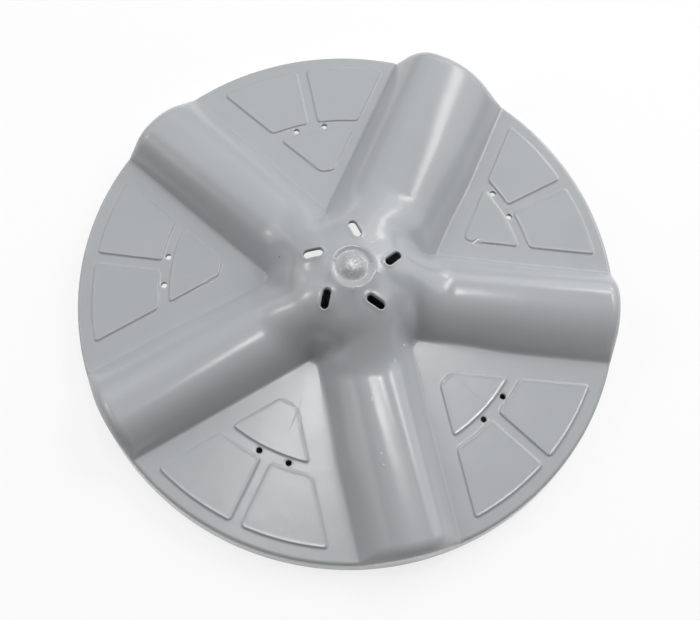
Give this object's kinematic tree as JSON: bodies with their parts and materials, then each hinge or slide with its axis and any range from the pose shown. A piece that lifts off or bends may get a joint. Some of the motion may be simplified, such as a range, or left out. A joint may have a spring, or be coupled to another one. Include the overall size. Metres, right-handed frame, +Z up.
{
  "type": "washing machine agitator",
  "caption": "Low agitator disc of a top-loading washing machine, with hollow lobes from hub to rim, one of them broader, raised pads and drain holes between them, and a splined drive boss under the hub.",
  "frame": {"origin": "centre of the rest plane, under the axis of the drive boss", "axes": "+Z up along the drive axis, +X and +Y in the rest plane; the broad lobe points 54 degrees from +X towards +Y"},
  "size_m": [0.3428, 0.3428, 0.0594],
  "materials": {
    "grey_plastic": "semi-gloss moulded polypropylene"
  },
  "bodies": {
    "root": {"agitator": "grey_plastic"}
  },
  "joints": []
}
